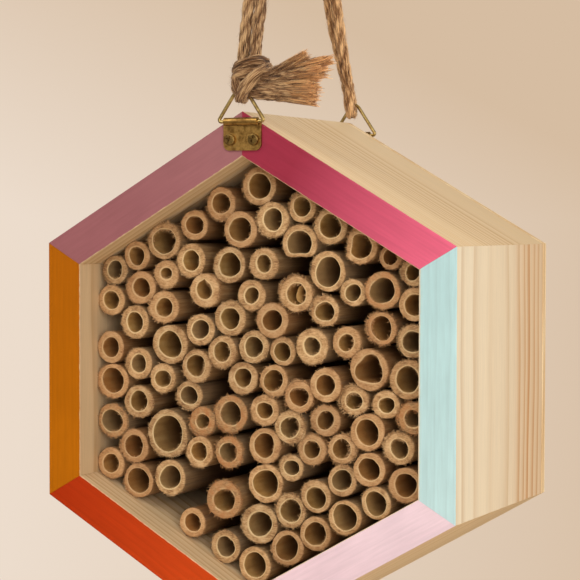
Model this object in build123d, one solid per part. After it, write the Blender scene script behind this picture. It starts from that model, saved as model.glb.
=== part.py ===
"""Hexagonal insect hotel: six mitred boards round a bundle of bamboo tubes, hung by one doubled rope.

Axes: X to the right, Y into the depth (the open front faces -Y), Z up.
Origin: where the hook bears on the inside of the rope loop, above the middle of the depth.
Sizes are first laid out from the centre of the front faces (x, y, z), and heights of the hanger
from the top corner of the hexagon; HOOK_TO_FRONT carries them to the origin on export.
"""
from build123d import *
from math import atan2, cos, hypot, pi, radians, sin, sqrt, tan
import os

os.makedirs("parts", exist_ok=True)

# ---- driving dimensions, mm ------------------------------------------------------------------
WIDTH = 178.0                 # across the hexagon's flats, outside
BOARD = 15.0                  # board thickness
DEPTH = 100.0                 # front of the boards to the back of the panel
PANEL = 4.0                   # back panel thickness
LOOP_RISE = 143.0             # top corner of the hexagon up to the hook's bearing point

HANGER_X = 0.5                # middle of the front hanger plate
REAR_X = 1.2                  # middle of the rear one
REAR_DROP = 1.4               # the rear hanger sits this much lower than the front one
PLATE_WIDTH = 16.4
PLATE_DROP = 11.1             # barrel axis down to the plate's lower edge
PLATE_SHEET = 0.8
PLATE_CORNER = 2.5
BARREL_LENGTH = 14.4
WIRE_R = 0.7                  # ring wire
BARREL_GAP = 0.05             # running clearance round the wire
BARREL_BELOW_APEX = 4.0       # hinge axis below the hexagon's top corner
RING_HALF = 10.2              # half the ring's base, to the wire's centre
RING_PEAK = 15.0              # base to the ring's sharp peak, before rounding
RING_PEAK_R = 2.5
RING_CORNER_R = 0.8
SCREW_X = 5.1                 # screws either side of the plate's middle
SCREW_BELOW_APEX = 10.9
SCREW_HEAD_R = 2.3
SCREW_HEAD = 1.3
SCREW_SHANK_R = 1.2
SCREW_SHANK = 11.0

ROPE_R = 2.5
HOOK_R = 4.0                  # the pin that the loop is sized for
BIGHT_BEND = 2.75             # the rope is squeezed round the rear ring, just clear of folding
STRAND_X = 2.55               # half the spacing of the two strands where they lie together

BRAD_R = 0.8
BRAD_LENGTH = 16.0
BRAD_FROM_CORNER = 6.5
BRAD_Y = 89.0
PIN_R = 0.7
PIN_LENGTH = 14.0

# ---- derived ---------------------------------------------------------------------------------
CORNER = WIDTH / sqrt(3)              # centre to outer corner
INNER_FLAT = WIDTH / 2 - BOARD        # centre to the boards' inner faces
INNER_CORNER = INNER_FLAT * 2 / sqrt(3)
BOARD_DEPTH = DEPTH - PANEL
BARREL_IN = WIRE_R + BARREL_GAP
BARREL_OUT = BARREL_IN + PLATE_SHEET
HINGE_Y = BARREL_OUT                  # hinge axis ahead of the front face, or behind the back one
HINGE_Z = CORNER - BARREL_BELOW_APEX
LEG_LEAN = sin(atan2(RING_HALF, RING_PEAK))
RING_APEX = RING_PEAK - RING_PEAK_R * (1 / LEG_LEAN - 1)   # hinge axis up to the wire at its top
HOOK_TO_FRONT = Vector(0, -DEPTH / 2, -(CORNER + LOOP_RISE))

# ---- the bamboo, row by row from the top: x, z, outer diameter, bore, set back from the front ----
TUBE_ROWS = [
    [(0.9, 73.6, 15.2, 9.6, 13), (-16.9, 67.2, 13.4, 8.0, 14), (19.6, 65.9, 12.2, 7.4, 13),
     (7.1, 61.3, 14.0, 8.2, 12)],
    [(-29.6, 58.7, 12.3, 7.6, 15), (31.5, 58.4, 14.0, 9.0, 13), (-7.3, 57.2, 14.6, 9.5, 12),
     (-42.5, 52.5, 15.0, 10.3, 13), (18.2, 52.0, 15.0, 10.5, 13), (44.8, 51.0, 14.2, 9.2, 12)],
    [(-56.2, 47.0, 12.0, 7.2, 14), (57.0, 47.0, 9.6, 6.0, 13), (-30.0, 44.7, 13.5, 7.8, 13),
     (3.2, 43.7, 12.7, 6.5, 12), (-12.6, 43.0, 14.6, 9.4, 13), (66.4, 41.5, 10.4, 5.8, 13),
     (30.8, 41.0, 15.8, 11.0, 13)],
    [(-66.0, 40.5, 11.6, 7.0, 14), (-41.3, 39.0, 11.5, 4.8, 13), (54.0, 34.2, 14.6, 10.0, 12),
     (-53.2, 33.4, 13.4, 7.6, 13), (41.2, 33.3, 10.8, 6.4, 13), (-22.5, 32.8, 13.6, 7.0, 11),
     (17.0, 32.2, 14.3, 8.2, 13), (-2.6, 31.2, 12.4, 6.2, 13)],
    [(66.5, 29.2, 12.6, 8.0, 13), (-67.8, 28.0, 12.4, 7.3, 14), (28.8, 25.8, 12.2, 7.6, 14),
     (-42.0, 25.8, 13.7, 7.4, 12), (-12.2, 21.6, 14.2, 8.3, 13), (7.0, 21.4, 13.8, 8.2, 12),
     (53.4, 19.8, 12.5, 8.9, 13), (-56.0, 19.4, 13.6, 7.7, 13)],
    [(-25.6, 17.0, 12.8, 7.6, 13), (66.1, 15.2, 13.0, 8.3, 13), (38.8, 13.8, 12.0, 6.4, 13),
     (24.3, 12.0, 13.9, 6.8, 12), (-1.4, 11.0, 13.3, 8.0, 13), (-39.0, 10.8, 16.2, 10.5, 12),
     (10.3, 9.0, 11.3, 7.2, 14), (-67.8, 8.7, 12.9, 7.8, 13)],
    [(-15.1, 8.5, 13.0, 7.5, 12), (48.2, 3.8, 16.3, 11.0, 12), (-54.3, 2.5, 13.0, 7.0, 13),
     (-27.2, 2.0, 13.3, 8.4, 12), (64.2, 0.6, 15.4, 9.5, 13), (-7.4, -1.3, 13.3, 7.3, 14),
     (8.0, -1.7, 12.6, 8.3, 13), (-43.0, -2.9, 12.0, 7.0, 13)],
    [(30.2, -3.7, 13.2, 7.9, 12), (-67.0, -5.0, 14.6, 10.0, 13), (18.6, -7.7, 12.4, 7.7, 13),
     (40.8, -8.2, 12.0, 6.6, 14), (55.1, -9.5, 11.3, 6.1, 13), (-30.5, -9.7, 12.0, 7.4, 14),
     (-54.3, -13.0, 13.7, 8.0, 13)],
    [(66.5, -13.9, 12.4, 6.5, 13), (3.5, -14.0, 12.4, 6.5, 13), (-12.0, -16.0, 14.8, 9.2, 13),
     (29.2, -16.8, 12.6, 7.0, 14), (-25.2, -18.8, 11.8, 5.7, 13), (47.6, -19.7, 14.6, 9.5, 12),
     (14.4, -19.8, 13.0, 8.1, 13)],
    [(-66.7, -21.2, 14.4, 9.4, 13), (-40.2, -25.2, 19.2, 13.9, 12), (61.3, -25.6, 12.7, 7.3, 12),
     (37.0, -27.1, 12.0, 7.6, 13), (3.5, -28.0, 14.0, 9.2, 13), (23.6, -28.0, 12.3, 6.8, 13),
     (-12.6, -31.3, 12.6, 7.7, 13)],
    [(-56.8, -31.4, 13.7, 8.7, 13), (-25.5, -31.6, 12.6, 7.3, 12), (48.8, -34.5, 13.2, 8.5, 12),
     (14.8, -36.1, 10.6, 6.2, 13), (-67.4, -38.5, 13.0, 7.6, 13), (63.4, -39.6, 13.6, 8.8, 13),
     (36.0, -40.1, 12.5, 8.1, 13)],
    [(3.9, -42.4, 15.4, 10.7, 13), (-39.6, -43.0, 14.4, 9.4, 13), (-55.2, -45.6, 14.4, 10.1, 14),
     (26.2, -46.2, 12.8, 8.3, 12), (51.3, -47.3, 12.8, 9.0, 13), (-13.8, -50.0, 15.6, 9.0, 11),
     (15.5, -52.5, 13.8, 8.9, 13)],
    [(38.2, -53.8, 14.2, 10.0, 13), (1.4, -59.1, 15.8, 9.8, 13), (-29.8, -60.7, 12.0, 7.1, 14),
     (25.3, -60.9, 13.2, 9.1, 13), (13.1, -67.3, 14.2, 9.8, 13), (-14.8, -69.5, 13.2, 8.0, 14),
     (-1.0, -75.3, 14.2, 9.8, 13)],
]
TUBE_GAP = 0.06               # least clearance left between two tubes, and to the boards


def export(name, shape):
    """Write one node, carried from the layout frame to the origin."""
    shape = shape.moved(Location(HOOK_TO_FRONT))
    export_step(shape, f"parts/{name}.step")
    return shape


def flat_normal(k):
    """Outward direction of flat k, counted clockwise from the upper right one."""
    a = radians(60 - 60 * k)
    return cos(a), sin(a)


def corner(k, radius):
    """Corner k of a hexagon, clockwise from the top one."""
    a = radians(90 - 60 * k)
    return radius * cos(a), radius * sin(a)


def prism(points, y0, y1):
    """Solid from an outline in X and Z, between two depths."""
    face = make_face(Polyline([Vector(x, y0, z) for x, z in points], close=True))
    return extrude(face, amount=y1 - y0, dir=(0, 1, 0))


def rod(start, direction, radius, length):
    """Round bar from a point along a direction."""
    plane = Plane(origin=start, z_dir=direction)
    return extrude(plane * Circle(radius), amount=length)


def settle(rows):
    """Push overlapping tubes apart and inside the boards, a little at a time."""
    tubes = [list(t) for row in rows for t in row]
    walls = [flat_normal(k) for k in range(6)]
    for _ in range(400):
        for i, a in enumerate(tubes):
            for b in tubes[i + 1:]:
                dx, dz = b[0] - a[0], b[1] - a[1]
                far = hypot(dx, dz)
                push = (a[2] + b[2]) / 2 + TUBE_GAP - far
                if push > 0:
                    for t, way in ((a, -1), (b, 1)):
                        t[0] += way * dx / far * push / 2
                        t[1] += way * dz / far * push / 2
            for nx, nz in walls:
                push = a[0] * nx + a[1] * nz + a[2] / 2 + TUBE_GAP - INNER_FLAT
                if push > 0:
                    a[0] -= nx * push
                    a[1] -= nz * push
    settled = iter(tubes)
    return [[next(settled) for _ in row] for row in rows]


def tube(x, z, outer, bore, setback):
    """One bamboo tube, open at the front and standing against the back panel."""
    length = BOARD_DEPTH - setback
    start = (x, setback, z)
    return rod(start, (0, 1, 0), outer / 2, length) - rod(start, (0, 1, 0), bore / 2, length)


def hanger_plate():
    """Plate with its top edge rolled into a barrel, on the face y = 0, barrel towards -Y."""
    low = HINGE_Z - PLATE_DROP
    half = PLATE_WIDTH / 2
    outline = Polyline((-half, HINGE_Z), (-half, low), (half, low), (half, HINGE_Z), close=True)
    sheet = Plane.XZ * make_face(outline)
    sheet = extrude(sheet, amount=PLATE_SHEET)
    lower = [e for e in sheet.edges().filter_by(Axis.Y) if e.center().Z < low + 1]
    sheet = fillet(lower, PLATE_CORNER)
    centre = (-BARREL_LENGTH / 2, -HINGE_Y, HINGE_Z)
    barrel = rod(centre, (1, 0, 0), BARREL_OUT, BARREL_LENGTH)
    bore = rod(centre, (1, 0, 0), BARREL_IN, BARREL_LENGTH)
    slit = Pos(0, -HINGE_Y + BARREL_OUT / 2 - 0.3, HINGE_Z - BARREL_OUT / 2)
    barrel -= slit * Box(PLATE_WIDTH + 1, BARREL_OUT - PLATE_SHEET - 0.2, BARREL_OUT)
    plate = sheet + barrel - bore
    for side in (-1, 1):
        hole = (side * SCREW_X, 1, CORNER - SCREW_BELOW_APEX)
        plate -= rod(hole, (0, -1, 0), SCREW_SHANK_R + 0.1, 3)
    return plate


def hanger_ring():
    """Three-cornered wire ring; its two ends meet inside the barrel."""
    y = -HINGE_Y
    joint = 0.2
    path = FilletPolyline(
        (joint, y, HINGE_Z), (RING_HALF, y, HINGE_Z), (0, y, HINGE_Z + RING_PEAK),
        (-RING_HALF, y, HINGE_Z), (-joint, y, HINGE_Z),
        radius=[RING_CORNER_R, RING_PEAK_R, RING_CORNER_R])
    return sweep(Plane(origin=path @ 0, z_dir=path % 0) * Circle(WIRE_R), path=path)


def plate_screws():
    """Two cross-head screws through the plate into the boards."""
    screws = []
    for side in (-1, 1):
        x, z = side * SCREW_X, CORNER - SCREW_BELOW_APEX
        head = rod((x, -PLATE_SHEET, z), (0, -1, 0), SCREW_HEAD_R, SCREW_HEAD)
        rim = [e for e in head.edges().filter_by(GeomType.CIRCLE) if e.center().Y < -PLATE_SHEET - 0.5]
        head = fillet(rim, 0.7)
        for turn in (20, 110):
            slot = Box(SCREW_HEAD_R * 1.3, 1.2, 0.55)
            head -= Pos(x, -PLATE_SHEET - SCREW_HEAD, z) * Rot(0, turn, 0) * slot
        shank = rod((x, -PLATE_SHEET, z), (0, 1, 0), SCREW_SHANK_R, SCREW_SHANK)
        screws.append(head + shank)
    return Compound(screws)


def mirror_to_back(shape):
    """The same piece on the back of the hotel, turned half round."""
    return Pos(0, DEPTH, 0) * Rot(0, 0, 180) * shape


def sweep_rope(route, radii, radius=ROPE_R):
    """Rope along straight runs joined by arcs; prints its length, radii and volume error."""
    path = FilletPolyline(*[Vector(*p) for p in route], radius=radii)
    rope = sweep(Plane(origin=path @ 0, z_dir=path % 0) * Circle(radius), path=path)
    expected = pi * radius ** 2 * path.length
    print("rope run", round(path.length, 1), "radii", [round(r, 1) for r in radii],
          "volume ratio", round(rope.volume / expected, 4))
    return rope


def open_radii(route):
    """Largest arc that each corner's two runs allow."""
    points = [Vector(*p) for p in route]
    radii = []
    for a, b, c in zip(points, points[1:], points[2:]):
        half_turn = radians((b - a).get_angle(c - b)) / 2
        radii.append(0.45 * min((b - a).length, (c - b).length) / tan(half_turn))
    return radii


# ---- boards, panel and their nails -----------------------------------------------------------
BOARD_NAMES = ["upper_right", "right", "lower_right", "lower_left", "left", "upper_left"]
for k, name in enumerate(BOARD_NAMES):
    outline = [corner(k, CORNER), corner(k + 1, CORNER), corner(k + 1, INNER_CORNER), corner(k, INNER_CORNER)]
    export(f"board_{name}", prism(outline, 0, BOARD_DEPTH))

export("back_panel", prism([corner(k, CORNER) for k in range(6)], BOARD_DEPTH, DEPTH))

brads = []
panel_pins = []
for k in range(6):
    nx, nz = flat_normal(k)
    cx, cz = corner(k + 1, CORNER)
    ax, az = corner(k, CORNER)
    along = BRAD_FROM_CORNER / hypot(cx - ax, cz - az)
    head = (cx + (ax - cx) * along - nx * 0.8, BRAD_Y, cz + (az - cz) * along - nz * 0.8)
    brads.append(rod(head, (-nx, 0, -nz), BRAD_R, BRAD_LENGTH))
    for share in (0.25, 0.75):
        x, z = (ax + (cx - ax) * share) - nx * BOARD / 2, (az + (cz - az) * share) - nz * BOARD / 2
        panel_pins.append(rod((x, DEPTH, z), (0, -1, 0), PIN_R, PIN_LENGTH))
export("mitre_brads", Compound(brads))
export("panel_pins", Compound(panel_pins))

# ---- bamboo ----------------------------------------------------------------------------------
SETTLED_ROWS = settle(TUBE_ROWS)
for number, row in enumerate(SETTLED_ROWS, start=1):
    row = sorted(row)
    half = (len(row) + 1) // 2
    for half_name, tubes in (("left", row[:half]), ("right", row[half:])):
        export(f"bamboo_row_{number:02d}_{half_name}", Compound([tube(*t) for t in tubes]))

# ---- hangers ---------------------------------------------------------------------------------
for piece, make in (("hanger_plate", hanger_plate), ("plate_screws", plate_screws), ("ring", hanger_ring)):
    export(f"front_{piece}", Pos(HANGER_X, 0, 0) * make())
    export(f"rear_{piece}", Pos(REAR_X, 0, -REAR_DROP) * mirror_to_back(make()))

# ---- rope ------------------------------------------------------------------------------------
TOP = CORNER                          # heights below are from the hexagon's top corner
hook_z = TOP + LOOP_RISE - HOOK_R
wrap = HOOK_R + ROPE_R                # the rope's centre round the hook
middle = DEPTH / 2
reach = WIRE_R + ROPE_R               # the rope's centre round a ring
front_eye = HINGE_Z + RING_APEX - reach
rear_eye = front_eye - REAR_DROP - 0.4   # beside the peak, where the wire is lower

KNOT = (3.8, 0.4, TOP + 13.4)
KNOT_SIZE = (8.0, 6.4, 9.4)
LOOP_END = (HANGER_X, -HINGE_Y - 0.6, front_eye - 0.6)
knot = Pos(*KNOT) * scale(Sphere(1), by=KNOT_SIZE) + Pos(*LOOP_END) * Sphere(ROPE_R)
export("rope_knot", knot)


def leg_top(side):
    """Corner of the route beside the hook: -1 for the front leg, 1 for the rear one."""
    return middle + side * (wrap * tan(radians(35)) + 0.06), hook_z + wrap


def strand(side):
    """One strand: up from the knot, over the hook and down to the rear ring."""
    fy, fz = leg_top(-1)
    ry, rz = leg_top(1)
    x = side * STRAND_X
    foot = (1.4 + side * 2.9, 2.6, TOP + 16.0 + side)
    join = (side * 2.8 - 1.0, 11.6, TOP + 44.0)
    rear_join = (side * 2.5 - 2.4, DEPTH - 13.0 - side * 1.45, TOP + 50.0)
    rear_foot = (REAR_X - 1.3 + side * 1.2, DEPTH + HINGE_Y - 2.6 - side * 2.8, TOP + 12.6)
    return [foot, join, (x, fy, fz), (x, ry, rz), rear_join, rear_foot]


strands = []
for side, name in ((-1, "left"), (1, "right")):
    route = strand(side)
    bends = open_radii(route)
    bends[1] = wrap
    bends[2] = wrap
    strands.append(sweep_rope(route, bends))
    export(f"rope_strand_{name}", strands[-1] - knot)

left_foot, right_foot = strand(-1)[-1], strand(1)[-1]
ring_y = DEPTH + HINGE_Y
bight_route = [
    left_foot, (REAR_X - 2.2, ring_y + reach, rear_eye),
    (REAR_X - 0.6, ring_y - reach, rear_eye), right_foot]
bight = sweep_rope(bight_route, [BIGHT_BEND, BIGHT_BEND])
export("rope_bight", bight - strands[0] - strands[1])

UPPER_TAIL = [(9.5, -1.6, TOP + 12.8), (17.0, -3.0, TOP + 13.2), (24.0, -3.8, TOP + 14.4)]
LOWER_TAIL = [(8.0, -3.6, TOP + 7.6), (15.5, -4.6, TOP + 7.2), (23.0, -5.4, TOP + 6.6)]
TAIL_ENDS = {"upper": ((37.8, -4.6, TOP + 16.4), 5.6), "lower": ((34.0, -6.0, TOP + 5.6), 4.6)}
for name, route in (("upper", UPPER_TAIL), ("lower", LOWER_TAIL)):
    tail = sweep_rope(route, open_radii(route))
    end, (tip, spread) = Vector(*route[-1]), TAIL_ENDS[name]
    along = Vector(*tip) - end
    plane = Plane(origin=end, x_dir=along.cross(Vector(0, 1, 0)), z_dir=along)
    fan = Ellipse(spread, ROPE_R * 1.1)
    brush = loft([plane * Circle(ROPE_R), plane.offset(along.length) * fan])
    export(f"rope_tail_{name}", tail + brush - knot)
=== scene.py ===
"""Looks of the hexagonal insect hotel: painted pine boards, bamboo tubes, brass hangers, jute rope."""

import math

import bmesh
import bpy
import numpy as np
from mathutils import Matrix, Vector


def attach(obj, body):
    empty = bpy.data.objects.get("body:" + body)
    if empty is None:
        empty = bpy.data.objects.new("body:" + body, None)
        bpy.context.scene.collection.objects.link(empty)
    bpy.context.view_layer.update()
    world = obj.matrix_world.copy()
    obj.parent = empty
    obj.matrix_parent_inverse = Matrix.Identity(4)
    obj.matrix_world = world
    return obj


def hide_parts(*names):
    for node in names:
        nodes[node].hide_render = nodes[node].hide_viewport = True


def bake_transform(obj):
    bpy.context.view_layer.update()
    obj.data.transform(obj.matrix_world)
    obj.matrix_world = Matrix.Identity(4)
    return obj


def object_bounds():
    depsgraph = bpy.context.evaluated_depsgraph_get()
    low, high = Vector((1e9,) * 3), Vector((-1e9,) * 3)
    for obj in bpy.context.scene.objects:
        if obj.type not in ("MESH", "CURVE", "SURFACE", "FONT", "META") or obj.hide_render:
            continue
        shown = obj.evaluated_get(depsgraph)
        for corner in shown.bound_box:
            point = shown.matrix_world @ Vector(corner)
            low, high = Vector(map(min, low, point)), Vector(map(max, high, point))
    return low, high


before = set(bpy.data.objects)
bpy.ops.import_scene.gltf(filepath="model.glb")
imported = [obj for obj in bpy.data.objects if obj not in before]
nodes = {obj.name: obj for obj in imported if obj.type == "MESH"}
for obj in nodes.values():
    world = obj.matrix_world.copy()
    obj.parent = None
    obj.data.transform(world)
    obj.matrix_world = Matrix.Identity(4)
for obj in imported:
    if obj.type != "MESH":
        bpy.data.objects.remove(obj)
cad_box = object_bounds()
MM = 0.001
TAU = 2 * math.pi

# ---- camera ----
FRONT = Vector((0.0, -0.050, -0.24577))          # middle of the boards' front faces
CAMERA_AT = FRONT + Vector((0.3496, -0.6592, 0.0616))
YAW, PITCH, ROLL = (math.radians(a) for a in (26.505, -2.128, 0.13))
ahead = Vector((-math.sin(YAW) * math.cos(PITCH), math.cos(YAW) * math.cos(PITCH), math.sin(PITCH)))
level = Vector((math.cos(YAW), math.sin(YAW), 0))
lift = level.cross(ahead)
right = math.cos(ROLL) * level + math.sin(ROLL) * lift
above = math.cos(ROLL) * lift - math.sin(ROLL) * level
camera = bpy.data.objects.new("camera", bpy.data.cameras.new("camera"))
camera.data.lens = 119.80
camera.data.sensor_width = 36                    # lens and sensor in mm
camera.data.clip_start = 0.02
turned = Matrix((right, above, -ahead)).transposed().to_4x4()
camera.matrix_world = Matrix.Translation(CAMERA_AT) @ turned
bpy.context.scene.collection.objects.link(camera)
bpy.context.scene.camera = camera
bpy.context.scene.view_settings.view_transform = "Standard"


# ---- mesh helpers ----
def link(name, data):
    obj = bpy.data.objects.new(name, data)
    bpy.context.scene.collection.objects.link(obj)
    return obj


class Build:
    """Collects vertices, faces, material indices and per-vertex attributes, then makes one mesh."""

    def __init__(self):
        self.verts, self.faces, self.slots, self.extra = [], [], [], {}
        self.count = 0

    def add(self, verts, faces, slot=0, **extra):
        verts = np.asarray(verts, float).reshape(-1, 3)
        faces = np.asarray(faces, int)
        self.verts.append(verts)
        self.faces.extend((faces + self.count).tolist())
        self.slots.extend(np.broadcast_to(slot, len(faces)).tolist())
        for key, values in extra.items():
            values = np.asarray(values, float)
            if values.ndim == 0:
                values = np.full(len(verts), float(values))
            self.extra.setdefault(key, []).append(values)
        self.count += len(verts)

    def mesh(self, name, materials):
        data = bpy.data.meshes.new(name)
        data.from_pydata(np.vstack(self.verts).tolist(), [], self.faces)
        for m in materials:
            data.materials.append(m)
        data.polygons.foreach_set("material_index", self.slots)
        data.polygons.foreach_set("use_smooth", [True] * len(data.polygons))
        for key, parts in self.extra.items():
            add_field(data, key, np.concatenate(parts))
        data.validate()
        return link(name, data)


def add_field(data, name, values):
    """Stores one number, or one vector, for each vertex."""
    kind, item = ("FLOAT_VECTOR", "vector") if values.ndim == 2 else ("FLOAT", "value")
    field = data.attributes.new(name, kind, "POINT")
    field.data.foreach_set(item, values.astype(np.float32).ravel())


def grid_faces(rings, sides, joined=False):
    """Quads between the rings of an open tube, or of one whose last ring joins the first."""
    i, j = np.meshgrid(np.arange(rings if joined else rings - 1), np.arange(sides), indexing="ij")
    i2, j2 = (i + 1) % rings, (j + 1) % sides
    corners = [i * sides + j, i * sides + j2, i2 * sides + j2, i2 * sides + j]
    return np.stack(corners, -1).reshape(-1, 4)


def unit(v):
    return v / np.linalg.norm(v, axis=-1, keepdims=True)


def wander(count, sides, step, rand, around=1):
    """Smooth random field, count rings by sides, that changes over about step rings.
    Each pass of around smooths it once more round the ring."""
    knots = rand.normal(0, 1, (max(3, int(count / step) + 3), sides))
    at = np.linspace(0, len(knots) - 1.001, count)
    low = at.astype(int)
    share = (at - low)[:, None]
    share = share * share * (3 - 2 * share)
    field = knots[low] * (1 - share) + knots[low + 1] * share
    for _ in range(around):
        field = (np.roll(field, 1, 1) + 2 * field + np.roll(field, -1, 1)) / 4
    return field / max(field.std(), 1e-9)


# ---- spline and rope helpers ----
def spline_points(name, route):
    """Points, in metres, along an order-3 NURBS with the route, in mm, as control points."""
    data = bpy.data.curves.new(name, "CURVE")
    data.dimensions = "3D"
    data.resolution_u = 40
    spline = data.splines.new("NURBS")
    spline.points.add(len(route) - 1)
    for point, place in zip(spline.points, route):
        point.co = (place[0] * MM, place[1] * MM, place[2] * MM, 1)
    spline.order_u = 3
    spline.use_endpoint_u = True
    holder = bpy.data.objects.new(name, data)
    wire = bpy.data.meshes.new_from_object(holder)
    points = np.array([v.co for v in wire.vertices])
    bpy.data.objects.remove(holder)
    bpy.data.curves.remove(data)
    bpy.data.meshes.remove(wire)
    return points


def spaced(points, step):
    """The same line at even distances: points, and the distance along it of each."""
    gaps = np.linalg.norm(np.diff(points, axis=0), axis=1)
    keep = np.concatenate([[True], gaps > 1e-7])
    points = points[keep]
    along = np.concatenate([[0], np.cumsum(np.linalg.norm(np.diff(points, axis=0), axis=1))])
    at = np.linspace(0, along[-1], max(3, int(round(along[-1] / step)) + 1))
    return np.stack([np.interp(at, along, points[:, k]) for k in range(3)], 1), at


def carried_frames(points):
    """Tangent and two cross directions at each point, without twist."""
    tangent = np.gradient(points, axis=0)
    tangent /= np.linalg.norm(tangent, axis=1)[:, None]
    side = np.cross(tangent[0], (0.0, 0.3, 1.0) if abs(tangent[0][2]) < 0.9 else (1.0, 0.2, 0.0))
    sides = []
    for t in tangent:
        side = side - t * np.dot(side, t)
        side = side / np.linalg.norm(side)
        sides.append(side)
    sides = np.array(sides)
    return tangent, sides, np.cross(tangent, sides)


LOBE_AT, LOBE_R = 0.33, 0.67           # a ply's centre and radius, as shares of the rope's radius


def ply_outline(angle, lobes=3):
    """Radius, as a share, of three plies laid together, at an angle from a ply's middle."""
    half = math.pi / lobes
    a = (angle + half) % (2 * half) - half
    return LOBE_AT * np.cos(a) + np.sqrt(np.maximum(LOBE_R ** 2 - (LOBE_AT * np.sin(a)) ** 2, 0))


def rope_surface(points, along, radius, lay, rand, sides, turn=0.0, rough=0.05, start=0.0):
    """Rings of a three-ply rope's surface: places, fibre coordinates and radius share.
    radius may vary along the rope; lay is the length of one turn of a ply."""
    _, n, b = carried_frames(points)
    theta = np.arange(sides) / sides * TAU
    radius = np.broadcast_to(radius, len(points))[:, None]
    helix = theta[None, :] - (along[:, None] / lay) * TAU + turn
    share = ply_outline(helix)
    step = np.mean(np.diff(along))
    share = share + 0.028 * np.cos(                  # yarns
        12 * theta[None, :] + 1.6 * np.sin(along[:, None] * 190) + 2 * helix)
    share = share + rough * wander(len(points), sides, 5.0 * MM / step, rand, 1)
    share = share + 0.7 * rough * wander(len(points), sides, 1.6 * MM / step, rand, 0)
    share = np.clip(share, 0.45, 1.16)
    r = share * radius
    ring = points[:, None, :] + r[..., None] * (
        np.cos(theta)[None, :, None] * n[:, None, :] + np.sin(theta)[None, :, None] * b[:, None, :])
    fibre = np.stack(np.broadcast_arrays(
        along[:, None] + start, radius * np.cos(theta)[None, :], radius * np.sin(theta)[None, :]), -1)
    return ring, fibre, share


def add_rings(build, ring, fibre, share):
    """Adds a tube of rings, with flat caps."""
    count, sides = ring.shape[:2]
    base = build.count
    build.add(ring, grid_faces(count, sides), fibre=fibre.reshape(-1, 3), deep=share.reshape(-1))
    first = [base + j for j in range(sides)][::-1]
    last = [base + (count - 1) * sides + j for j in range(sides)]
    build.faces.extend([first, last])
    build.slots.extend([0, 0])


def add_hairs(build, starts, headings, curls, lengths, radii,
              slot=0, taper=0.35, steps=5, own_place=None, **extra):
    """Many thin three-sided fibres; each leaves its start along its heading and bends by its
    curl. own_place names a field that holds each vertex's own place."""
    count = len(starts)
    t = np.linspace(0, 1, steps + 1)[None, :, None]
    lengths = lengths[:, None, None]
    line = starts[:, None, :] + headings[:, None, :] * t * lengths \
        + curls[:, None, :] * (t ** 2) * lengths
    tangent = unit(headings[:, None, :] + 2 * curls[:, None, :] * t)
    helper = np.where(np.abs(tangent[..., 2:3]) < 0.9, np.array([0, 0, 1.0]), np.array([1.0, 0, 0]))
    n = unit(np.cross(tangent, helper))
    b = np.cross(tangent, n)
    thick = radii[:, None] * (1 - (1 - taper) * t[..., 0])
    rings = []
    for k in range(3):
        a = k / 3 * TAU
        rings.append(line + thick[..., None] * (math.cos(a) * n + math.sin(a) * b))
    verts = np.stack(rings, 2).reshape(-1, 3)
    per = (steps + 1) * 3
    faces = (grid_faces(steps + 1, 3)[None] + (np.arange(count) * per)[:, None, None]).reshape(-1, 4)
    values = {key: np.repeat(value, per, 0) if np.ndim(value) else value
              for key, value in extra.items()}
    if own_place:
        values[own_place] = verts
    ends = np.arange(count)[:, None] * per + build.count
    build.add(verts, faces, slot, **values)
    build.faces.extend((ends + np.array([[2, 1, 0]])).tolist())
    build.faces.extend((ends + per - 3 + np.array([[0, 1, 2]])).tolist())
    build.slots.extend([slot] * (2 * count))


def loose_fibres(build, points, ring, fibre, per_mm, rand,
                 reach=1.2, length=(1.8, 5.0), radius=0.040):
    """Fibres that stand off a rope's surface; reach, length and radius in mm."""
    count, sides = ring.shape[:2]
    run = np.linalg.norm(np.diff(points, axis=0), axis=1).sum() / MM
    total = int(run * per_mm)
    margin = min(14, count // 4)
    i = rand.integers(margin, count - margin, total)
    j = rand.integers(0, sides, total)
    start = ring[i, j]
    out = unit(start - points[i])
    tangent = unit(points[np.minimum(i + 1, count - 1)] - points[np.maximum(i - 1, 0)])
    tangent *= rand.choice([-1, 1], total)[:, None]
    across = np.cross(tangent, out)
    long = rand.uniform(*length, total) * MM
    rise = rand.uniform(0.15, 1.0, total) * reach * MM / long
    heading = tangent * 0.9 + out * rise[:, None] * 1.25 \
        + across * rand.normal(0, 0.12, total)[:, None]
    curl = -out * (rise * rand.uniform(0.1, 0.9, total))[:, None] \
        + across * rand.normal(0, 0.14, total)[:, None]
    add_hairs(build, start - out * 0.15 * MM, heading, curl, long,
              radius * MM * rand.uniform(0.6, 1.3, total),
              fibre=fibre[i, j], deep=rand.uniform(0.85, 1.15, total))


# ---- node helpers ----
def rgb(*display):
    """Linear colour from display values of 0 to 255."""
    linear = [c / 255 / 12.92 if c <= 10 else ((c / 255 + 0.055) / 1.055) ** 2.4 for c in display]
    return (*linear, 1.0)


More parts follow.
